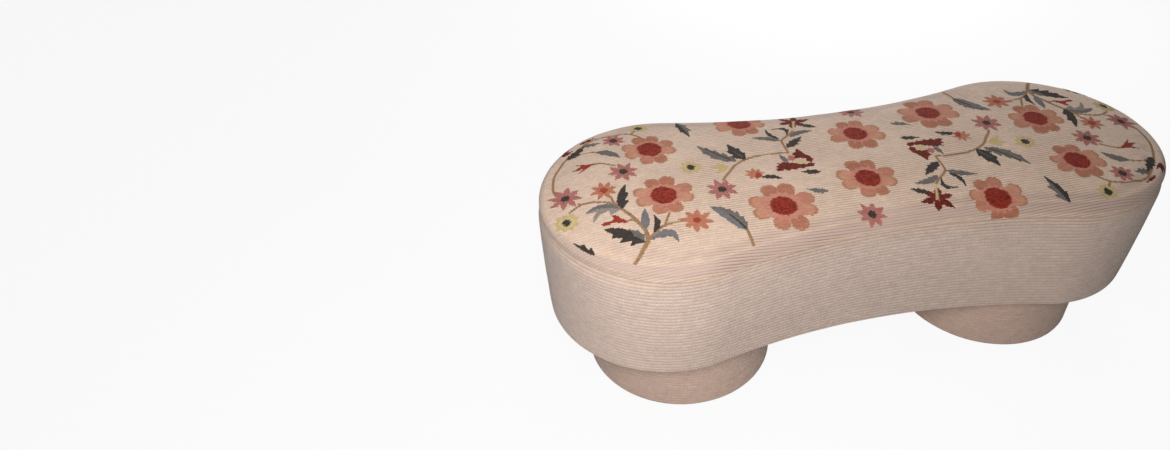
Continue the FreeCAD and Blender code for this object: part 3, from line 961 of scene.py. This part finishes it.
# A star has its middle, its reach and its heading, and a pale one has a paler round about its eye.
pale_share = 0.60
for centre, reach, heading in (((-509, 182), 28, 0.3), ((-513, 53), 33, 0.1), ((-643, -2), 35, 0.5),
                               ((-329, -54), 34, 0.2), ((-58, -186), 32, 0.4)):
    work("mauve", star(centre, reach, tips=8, notch=0.54, heading=heading))
    work("charcoal", knot(centre, radius=9.5, steps=8))

for centre, reach, heading in (((-563, -1), 29, 0.2), ((-405, -138), 35, 0.5), ((-247, -18), 22, 0.0)):
    work("apricot", star(centre, reach, tips=8, notch=0.50, heading=heading))
work("orange", knot((-563, -1), radius=9, steps=8), knot((-405, -137), radius=8.5, steps=8),
     [(-250, -31), (-247, -22), (-242, -13), (-236, -16), (-234, -25), (-240, -33)])

for centre, reach in (((-652, -76), 27), ((-371, 36), 24), ((-443, 227), 22)):
    work("primrose", star(centre, reach, tips=9, notch=0.72, heading=0.2))
    work("straw", knot(centre, reach * pale_share, steps=14))
    work("charcoal", knot(centre, radius=11, steps=8, heading=0.6))

# A bud has its base, its tips and its width, and other shapes have their corners.
work("primrose", bud((-293, 18), [(-316, 40), (-331, 28), (-329, -2)], 30))
work("straw", stem([(-106, 130), (-98, 152), (-88, 176)], 5, 9),
     [(-150, 8), (-141, 14), (-129, 12), (-124, 4), (-130, -4), (-142, -4)])
work(
    "scarlet",
    bud((-566, 100), [(-608, 108), (-618, 84), (-606, 71)], 16),
    [(-535, -110), (-547, -98), (-553, -87), (-564, -84), (-561, -94), (-566, -100), (-577, -100),
     (-588, -105), (-583, -111), (-565, -108), (-553, -109), (-541, -114)])
work(
    "maroon",
    star((-92, 171), radius=37, tips=6, notch=0.40, heading=0.12),
    bud((-625, 156), [(-599, 176), (-606, 192), (-618, 190)], 18),
    [(-200, -17), (-192, -8), (-195, -2), (-186, 0), (-190, 10), (-181, 6), (-174, 11), (-168, 6), (-160, 4),
     (-150, 0), (-140, -6), (-128, -8), (-118, -4), (-111, -10), (-118, -20), (-132, -17), (-140, -22),
     (-150, -18), (-158, -24), (-166, -18), (-173, -24), (-180, -17), (-189, -21)],
    [(-129, 55), (-134, 42), (-147, 35), (-142, 26), (-149, 18), (-136, 17), (-124, 13), (-117, 22),
     (-121, 38)],
    [(-121, 30), (-111, 20), (-108, 6), (-116, -5), (-124, 4), (-122, 16)])
work("mauve", [(-160, 14), (-159, 25), (-152, 32), (-144, 24), (-147, 15), (-152, 10)])

# A stem has its points and its width, or its widths at its start and its end.
work(
    "ochre",
    stem([(-548, -222), (-533, -206), (-511, -175)], 7.5, 9),
    stem([(-511, -178), (-508, -150), (-512, -132), (-526, -96), (-543, -66), (-559, -45), (-588, -34),
          (-606, -33), (-622, -37), (-643, -50)], 9, 5),
    stem([(-511, -175), (-496, -158), (-476, -142), (-452, -135), (-430, -134)], 7, 4.5),
    stem([(-468, -136), (-460, -120), (-450, -102)], 5),
    stem([(-543, -66), (-552, -44), (-554, -22)], 6, 4.5),
    stem([(-616, -37), (-621, -26)], 8, 4),
    stem([(-516, -118), (-528, -108), (-538, -111)], 7, 4),
    stem([(-659, 14), (-663, 32), (-660, 60), (-654, 84), (-643, 106), (-628, 130), (-612, 150), (-594, 168),
          (-570, 192), (-552, 203), (-528, 208), (-500, 209), (-480, 206), (-465, 200), (-450, 183),
          (-442, 166)], 5.5, 5),
    stem([(-466, 201), (-458, 210), (-452, 218)], 5),
    stem([(-578, 97), (-556, 98), (-538, 88), (-525, 78)], 5),
    stem([(-619, 140), (-600, 146), (-570, 149), (-550, 142)], 5),
    stem([(-318, -26), (-310, -14), (-296, 1), (-281, 19), (-264, 31), (-248, 38), (-230, 43), (-209, 46),
          (-186, 46), (-166, 44), (-150, 43)], 6),
    stem([(-151, 42), (-151, 62), (-149, 90), (-138, 103), (-122, 116), (-106, 132)], 5, 6),
    stem([(-317, -176), (-316, -200), (-316, -223)], 6, 7))

# Each leaf has its base, its tip, the bow of its midrib, and its left and right halves as seen from its base:
# a half has its wool, its width, how many teeth its edge has and how deep they are cut.
leaves = (
    ((-538, -70), (-518, 6), 0, ("charcoal", 15, 6, 0.1), ("charcoal", 11, 3, 0.75)),
    ((-541, -70), (-611, -62), -16, ("pewter", 24, 3, 0.65), ("slate", 14, 6, 0.1)),
    ((-586, -66), (-601, -94), 0, ("pewter", 4, 6, 0.0), ("pewter", 5, 6, 0.0)),
    ((-516, -175), (-585, -121), 0, ("charcoal", 21, 4, 0.6), ("charcoal", 6, 6, 0.0)),
    ((-534, -154), (-585, -121), 0, ("charcoal", 5, 6, 0.0), ("charcoal", 14, 5, 0.15)),
    ((-518, -173), (-541, -132), 0, ("slate", 8, 6, 0.0), ("slate", 15, 3, 0.3)),
    ((-507, -140), (-496, -82), 0, ("steel", 9, 6, 0.0), ("steel", 9, 4, 0.2)),
    ((-494, -153), (-483, -102), -12, ("charcoal", 5, 6, 0.0), ("charcoal", 10, 3, 0.35)),
    ((-316, -181), (-369, -102), -17, ("steel", 17, 6, 0.1), ("slate", 18, 6, 0.3)),
    ((-614, -180), (-649, -135), 0, ("charcoal", 4, 6, 0.0), ("charcoal", 12, 3, 0.75)),
    ((-352, 236), (-341, 157), 0, ("slate", 19, 3, 0.5), ("charcoal", 12, 3, 0.35)),
    ((-270, 36), (-337, 115), 18, ("slate", 15, 4, 0.4), ("slate", 19, 5, 0.4)),
    ((-250, 38), (-270, 105), 0, ("charcoal", 22, 3, 0.35), ("charcoal", 15, 3, 0.4)),
    ((-618, 139), (-573, 181), 0, ("charcoal", 11, 4, 0.5), ("charcoal", 14, 4, 0.5)),
    ((-577, 182), (-539, 181), 0, ("slate", 11, 3, 0.4), ("slate", 12, 3, 0.5)),
    ((-554, 143), (-508, 107), 6, ("slate", 15, 6, 0.15), ("slate", 8, 3, 0.4)),
    ((-582, 196), (-546, 214), 0, ("maroon", 5, 3, 0.4), ("maroon", 5, 3, 0.4)),
    ((-150, 102), (-165, 151), 18, ("charcoal", 5, 4, 0.2), ("charcoal", 7, 3, 0.4)),
    ((-128, 113), (-151, 147), -40, ("charcoal", 6, 6, 0.0), ("charcoal", 8, 3, 0.4)),
    ((-150, 94), (-209, 119), -6, ("slate", 9, 4, 0.3), ("slate", 10, 4, 0.4)),
    ((-147, 61), (-100, 99), 0, ("charcoal", 12, 4, 0.4), ("charcoal", 12, 4, 0.4)),
    ((-124, 106), (-66, 120), 10, ("slate", 10, 5, 0.2), ("slate", 9, 5, 0.4)),
    ((-166, 7), (-173, 38), 0, ("slate", 7, 3, 0.3), ("slate", 8, 3, 0.3)),
    ((-81, 153), (-50, 133), 0, ("charcoal", 9, 3, 0.2), ("charcoal", 9, 3, 0.4)),
    ((-236, -32), (-196, -46), 8, ("charcoal", 8, 3, 0.3), ("charcoal", 7, 6, 0.0)),
    ((-110, -40), (-152, -33), 0, ("charcoal", 9, 3, 0.4), ("charcoal", 9, 3, 0.4)),
    ((-118, -104), (-160, -89), 6, ("slate", 9, 3, 0.4), ("slate", 9, 3, 0.4)))
for base, tip, bend, *halves in leaves:
    for side, (wool, width, teeth, depth) in zip((1, -1), halves):
        work(wool, leaf_half(base, tip, bend, side, width, teeth, depth))
work("charcoal", stem([(-317, -179), (-326, -156), (-338, -132)], 4.5, 3),
     stem([(-281, 46), (-296, 62), (-310, 81), (-322, 99)], 4, 2.5))
work("steel", [(-504, -173), (-497, -162), (-487, -154), (-474, -150), (-461, -152), (-453, -158),
               (-451, -170), (-453, -190), (-458, -183), (-462, -173), (-470, -169), (-480, -172),
               (-490, -169)])
work("ash", stem([(-252, 47), (-259, 60), (-266, 75)], 3.5, 2.5))
for wool in wools:
    weave_in(wool)


# Staples: rows of wire staples that hold the hem of the side band, the lining and the cloth under each leg.
# They are bright galvanised wire, a little scratched by the gun that drove them.
wire_pale, wire_grey = paint(196, 196, 198), paint(150, 150, 156)


def staple_wire():
    made, tree, shader = new_material("staple_wire", Metallic=1.0)
    scratches = mottle(tree, object_place(tree), scale=1400.0, detail=2.0)
    wire = blend(tree, scratches, wire_pale, wire_grey)
    colour_in(tree, shader, wire, scratches, smoothest=0.25, roughest=0.5)
    return made


dress(staple_wire(), "hem_staples", "dust_cover_staples", *of_each_leg("base_staples"))


# Lining under the seat: one sheet of thin black cloth that closes the base and covers the band's hem.
# It is cut to the seat's outline, pulled flat and stapled all round.
lining_thickness = 0.001
lining_low, lining_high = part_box("dust_cover")
lining_inset = lobe_radius - lining_high.y
lining_lap = 0.003
lining_pale, lining_deep, dot_black = paint(46, 44, 44), paint(26, 25, 26), paint(20, 19, 20)


def lining_cloth():
    made, tree, shader = new_material("black_lining", Specular_IOR_Level=0.2, Sheen_Weight=0.1)
    place = object_place(tree)
    spun = mottle(tree, place, scale=600.0, detail=3.0)
    dots = add(tree, "TexVoronoi", Vector=place, Scale=380.0).outputs["Distance"]
    pressed = ramp(tree, dots, start=0.1, end=0.35)
    body = blend(tree, spun, lining_pale, lining_deep)
    colour_in(tree, shader, blend(tree, pressed, dot_black, body), spun, smoothest=0.7, roughest=0.9)
    raise_by(tree, shader, pressed, depth=0.0003)
    return made


def face_down(bm):
    """Turns the faces of a flat sheet to look down."""
    for face in bm.faces:
        if face.normal.z > 0:
            face.normal_flip()


black_lining = lining_cloth()
tucked_height = lining_high.z - lining_thickness
lining_profile = [(lining_inset, lining_low.z), (hem_inset, lining_low.z),
                  (hem_inset + lining_lap, tucked_height), (crown_end, tucked_height)]
lining_shape = sweep_round_seat(lining_profile, inner_spacing, closed=True)
face_down(lining_shape)
bmesh.ops.solidify(lining_shape, geom=lining_shape.faces[:], thickness=lining_thickness)
seat_lining = make_piece("seat_lining", lining_shape, black_lining, "lining_cloth", "dust_cover")
seat_lining.data.shade_flat()


# Drum legs: each a bent plywood tube wrapped in thin wadding and then in a sleeve of the cream cloth,
# its edges turned in over the top disc and under the bottom ring. A round of lining closes the underside.
# The sleeve is joined by an upright seam at the rear, and its ribs run level.
leg_steps = 120
leg_roll = 0.004
leg_hem_width = 0.025
leg_wall_rows = 14
leg_wadding_thickness = 0.0028
# The sleeve's tones are the cream cloth's painted darker and browner, a painted shade on the legs.
shaded_leg_light, shaded_leg_dark = paint(231, 200, 183), paint(199, 169, 153)
leg_cloth = ribbed_cloth("shaded_cream_leg_cloth", shaded_leg_light, shaded_leg_dark, side_pitch, groove_shade=0.15, rib_depth=0.0005)


def spin_leg(profile, middle, ring=False):
    """Turns a profile of (radius, height) points round a leg's axis."""
    bm = bmesh.new()
    verts, edges = chain(bm, [(middle.x + radius, middle.y, height) for radius, height in profile], ring)
    bmesh.ops.spin(bm, geom=verts + edges, cent=middle, axis=(0, 0, 1), angle=math.tau, steps=leg_steps,
                   use_merge=True)
    bmesh.ops.remove_doubles(bm, verts=bm.verts, dist=same_point)
    bmesh.ops.recalc_face_normals(bm, faces=bm.faces)
    return bm


for leg in leg_names:
    padding_low, padding_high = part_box(f"{leg}_leg_padding")
    middle = (padding_low + padding_high) / 2
    outer = (padding_high.x - padding_low.x) / 2
    inner = outer - leg_wadding_thickness
    wadding = spin_leg([(outer, padding_low.z), (outer, padding_high.z), (inner, padding_high.z),
                        (inner, padding_low.z)], middle, ring=True)
    leg_wadding = make_piece(f"{leg}_leg_wadding", wadding, wadding_finish, "wadding", f"{leg}_leg_padding")
    leg_wadding.data.shade_flat()

    sleeve_low, sleeve_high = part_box(f"{leg}_leg_cover")
    radius = (sleeve_high.x - sleeve_low.x) / 2
    hem_radius = radius - leg_hem_width
    wall_low, wall = sleeve_low.z + leg_roll, sleeve_high.z - sleeve_low.z - 2 * leg_roll
    profile = [(hem_radius, sleeve_low.z)]
    profile += [(radius - leg_roll * (1 - math.sin(turn)), sleeve_low.z + leg_roll * (1 - math.cos(turn)))
                for turn in corner_turns]
    profile += [(radius, wall_low + wall * row / leg_wall_rows) for row in range(1, leg_wall_rows)]
    profile += [(radius - leg_roll * (1 - math.cos(turn)), sleeve_high.z - leg_roll * (1 - math.sin(turn)))
                for turn in corner_turns]
    profile.append((hem_radius, sleeve_high.z))
    sleeve = spin_leg(profile, middle)
    loosen(sleeve, swell=0.0006, flutter=0.0003)
    press_join(sleeve, middle.x)

    def sleeve_place(co, centre):
        """Lays the sleeve flat from its rear seam: round the leg, then up it."""
        ahead = math.atan2(centre.x - middle.x, middle.y - centre.y)
        turn = math.atan2(co.x - middle.x, middle.y - co.y)
        if abs(turn - ahead) > math.pi:
            turn += math.copysign(math.tau, ahead)
        return swayed(turn * radius, co.z)

    map_cloth(sleeve, sleeve_place)
    leg_sleeve = make_piece(f"{leg}_leg_sleeve", sleeve, leg_cloth, "cover_cloth", f"{leg}_leg_cover")
    finish_cover(leg_sleeve)

    cloth_low, cloth_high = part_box(f"{leg}_leg_base_cloth")
    cloth_radius = (cloth_high.x - cloth_low.x) / 2
    lining_round = bmesh.new()
    bmesh.ops.create_circle(lining_round, cap_ends=True, segments=leg_steps, radius=cloth_radius)
    bmesh.ops.translate(lining_round, vec=(middle.x, middle.y, cloth_low.z), verts=lining_round.verts)
    face_down(lining_round)
    bmesh.ops.solidify(lining_round, geom=lining_round.faces[:], thickness=cloth_high.z - cloth_low.z)
    leg_lining = make_piece(f"{leg}_leg_lining", lining_round, black_lining, "lining_cloth",
                            f"{leg}_leg_base_cloth")
    leg_lining.data.shade_flat()


# Glides: small moulded nylon buttons nailed under each leg, which carry the bench on the floor.
# They are dark brown with a dull moulded skin and fine scuffs.
nylon_brown, nylon_deep = paint(62, 50, 42), paint(40, 32, 28)


def glide_nylon():
    made, tree, shader = new_material("glide_nylon", Specular_IOR_Level=0.4)
    scuffs = mottle(tree, object_place(tree), scale=500.0, detail=4.0)
    skin = blend(tree, scuffs, nylon_brown, nylon_deep)
    colour_in(tree, shader, skin, scuffs, smoothest=0.35, roughest=0.7)
    raise_by(tree, shader, scuffs, depth=0.00005)
    return made


dress(glide_nylon(), *of_each_leg("glides"))


# Studio: a pale floor that keeps the bench's shadow, under a lamp at the front left near the camera, a small
# one above and a low broad one behind, and the camera at the height, angle and framing of the photograph.
floor_half = 8.0
floor_pale, floor_grey = paint(232, 231, 230), paint(226, 225, 224)
floor_dimming = 0.32
floor_glow = 0.92
world_light = 0.15
black, white = (0.0, 0.0, 0.0, 1.0), (1.0, 1.0, 1.0, 1.0)
image_width = 1170.0
focal_pixels = 835.33
principal_x = 655.03
camera_place = (-0.77313, -1.35767, 1.47558)
camera_azimuth = math.radians(-13.128)
camera_elevation = math.radians(38.759)

# Each lamp has its place, the point it is aimed at, its size and its power.
lamps = {"key": ((-0.80, -1.12, 1.24), (-0.45, -0.2, 0.35), 0.6, 16.4),
         "top": ((-0.50, -0.30, 1.60), (-0.50, -0.30, 0.45), 0.6, 3.8),
         "rear": ((0.9, 2.3, 0.85), (0.1, 0.0, 0.3), 1.6, 39.0)}


def floor_paint():
    made, tree, shader = new_material("pale_floor", Roughness=0.8, Specular_IOR_Level=0.1)
    path = add(tree, "LightPath").outputs
    pale = blend(tree, mottle(tree, object_place(tree), scale=2.0, detail=3.0), floor_pale, floor_grey)
    dimmed = maths(tree, "MULTIPLY", path["Is Diffuse Ray"], floor_dimming)
    join(tree, shader.inputs["Base Color"], blend(tree, dimmed, pale, black))
    seen = maths(tree, "MAXIMUM", path["Is Camera Ray"], path["Is Glossy Ray"])
    glow = add(tree, "Emission", Strength=1.0)
    mixed = add(tree, "MixShader", Fac=maths(tree, "MULTIPLY", seen, floor_glow))
    tree.links.new(shader.outputs[0], mixed.inputs[1])
    tree.links.new(glow.outputs[0], mixed.inputs[2])
    tree.links.new(mixed.outputs[0], tree.nodes["Material Output"].inputs["Surface"])
    return made


floor_shape = bmesh.new()
bmesh.ops.create_grid(floor_shape, x_segments=1, y_segments=1, size=floor_half)
floor = new_object("floor", new_mesh("floor", floor_shape, floor_paint()))
floor_shape.free()

world = bpy.data.worlds.new("studio")
world.use_nodes = True
bpy.context.scene.world = world
sky = world.node_tree
camera_ray = add(sky, "LightPath").outputs["Is Camera Ray"]
join(sky, sky.nodes["Background"].inputs["Color"], white)
join(sky, sky.nodes["Background"].inputs["Strength"],
     maths(sky, "MULTIPLY_ADD", camera_ray, 1 - world_light, world_light))

for name, (place, aim, size, power) in lamps.items():
    lamp = bpy.data.lights.new(name, "AREA")
    lamp.shape = "DISK"
    lamp.size = size
    lamp.energy = power
    lamp_object = new_object(name, lamp)
    lamp_object.location = place
    lamp_object.rotation_euler = (Vector(place) - Vector(aim)).to_track_quat("Z", "Y").to_euler()

camera_data = bpy.data.cameras.new("camera")
camera_data.sensor_fit = "HORIZONTAL"
camera_data.lens = camera_data.sensor_width * focal_pixels / image_width
camera_data.shift_x = (image_width / 2 - principal_x) / image_width
camera = new_object("camera", camera_data)
camera.location = camera_place
camera.rotation_euler = (math.pi / 2 - camera_elevation, 0.0, camera_azimuth)
bpy.context.scene.camera = camera
bpy.context.scene.view_settings.view_transform = "Standard"
